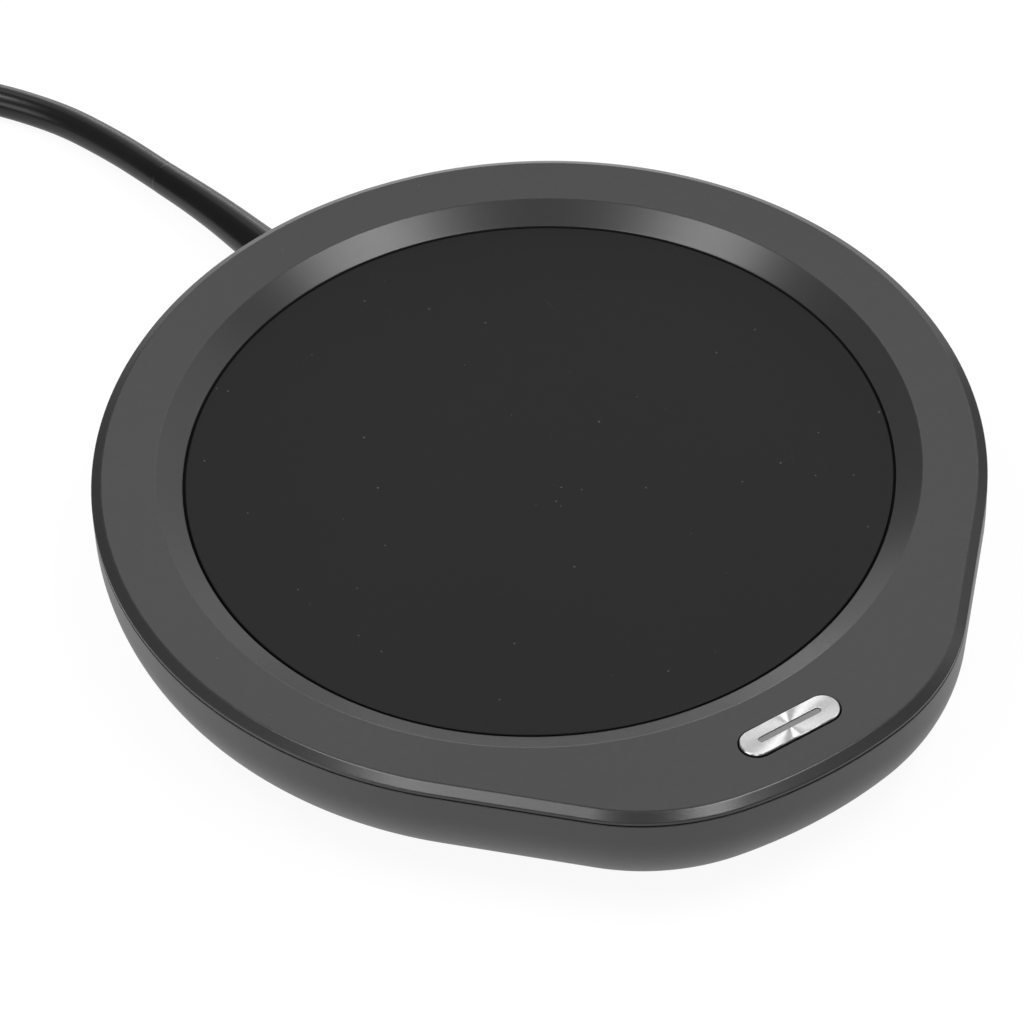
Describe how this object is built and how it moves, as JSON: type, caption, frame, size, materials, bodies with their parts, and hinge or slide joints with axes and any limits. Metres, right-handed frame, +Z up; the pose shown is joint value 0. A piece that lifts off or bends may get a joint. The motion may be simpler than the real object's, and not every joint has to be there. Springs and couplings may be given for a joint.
{
  "type": "electric mug warmer",
  "caption": "Low round electric mug warmer: recessed heating plate in a matt housing whose nose carries a lit metal press button, with a mains cord and plug.",
  "frame": {"origin": "middle of the body's footprint on the surface it stands on, without its cord", "axes": "+Z up; the nose with the button points along -Y and the cord leaves along +Y; +X is to the right"},
  "size_m": [0.1912, 0.2133, 0.0213],
  "materials": {
    "cover_plastic": "fine moulded texture, matt",
    "base_plastic": "fine moulded texture, matt",
    "plate_coating": "heat-proof satin coating",
    "gasket_rubber": "soft silicone",
    "spreader_aluminium": "rolled sheet",
    "heater_film": "amber polyimide film",
    "insulation_felt": "pressed fibre felt",
    "tray_steel": "plain zinc-plated sheet",
    "screw_steel": "zinc-plated cross-head screws",
    "ceramic": "glazed ceramic and glass beads",
    "board_green": "solder resist over glass laminate",
    "film_yellow": "moulded capacitor box",
    "can_sleeve": "shrunk sleeve on a can",
    "component_epoxy": "black moulding compound",
    "fuse_sleeve": "brown lacquered body",
    "block_nylon": "natural nylon",
    "lead_red": "silicone sleeving",
    "lead_grey": "thin insulated wire",
    "lead_brown": "insulated mains wire",
    "ribbon_white": "flat flexible lead",
    "led_lens": "clear lens over a chip",
    "contact_steel": "plated spring steel",
    "plunger_plastic": "moulded acetal",
    "light_lens": "frosted light guide, unlit",
    "button_metal": "spun finish with bright cut edges",
    "foot_rubber": "soft non-slip rubber",
    "bushing_vinyl": "moulded soft vinyl",
    "cord_vinyl": "extruded glossy vinyl",
    "tie_fabric": "woven hook-and-loop strap",
    "plug_vinyl": "moulded vinyl",
    "pin_nickel": "nickel-plated brass"
  },
  "bodies": {
    "housing": {"base_shell": "base_plastic", "top_cover": "cover_plastic", "heating_plate": "plate_coating", "plate_gasket": "gasket_rubber", "heat_spreader": "spreader_aluminium", "film_heater": "heater_film", "insulation_pad": "insulation_felt", "retainer_tray": "tray_steel", "tray_screws": "screw_steel", "temperature_sensor": "ceramic", "sensor_clip": "tray_steel", "thermal_fuse": "ceramic", "main_board": "board_green", "board_screws": "screw_steel", "film_capacitor": "film_yellow", "filter_capacitor": "can_sleeve", "triac": "component_epoxy", "bridge_rectifier": "component_epoxy", "line_fuse": "fuse_sleeve", "control_chip": "component_epoxy", "terminal_blocks": "block_nylon", "heater_leads": "lead_red", "sensor_leads": "lead_grey", "mains_leads": "lead_brown", "button_board": "board_green", "button_board_screws": "screw_steel", "button_harness": "ribbon_white", "status_leds": "led_lens", "switch_base": "component_epoxy", "switch_frame": "contact_steel", "switch_terminals": "contact_steel", "switch_dome": "contact_steel", "rubber_feet": "foot_rubber", "case_screws": "screw_steel", "cord_bushing": "bushing_vinyl", "cord_clamp": "block_nylon", "clamp_screws": "screw_steel", "power_cord": "cord_vinyl", "cord_coil": "cord_vinyl", "cord_tie": "tie_fabric", "plug_lead": "cord_vinyl", "plug_body": "plug_vinyl", "plug_pins": "pin_nickel"},
    "button": {"button_cap": "button_metal", "light_bar": "light_lens", "button_carrier": "plunger_plastic"},
    "plunger": {"switch_plunger": "plunger_plastic"}
  },
  "joints": [
    {"name": "button_press", "type": "slide", "parent": "housing", "child": "button", "axis": [0, 0, -1], "range_m": [0, 0.0004], "stiffness_N_per_m": 2000},
    {"name": "plunger_press", "type": "slide", "parent": "housing", "child": "plunger", "axis": [0, 0, -1], "range_m": [0, 0.0004], "stiffness_N_per_m": 500, "deforming": ["switch_dome"]}
  ],
  "couplings": [
    {"joint": "plunger_press", "follows": "button_press", "ratio": 1}
  ]
}
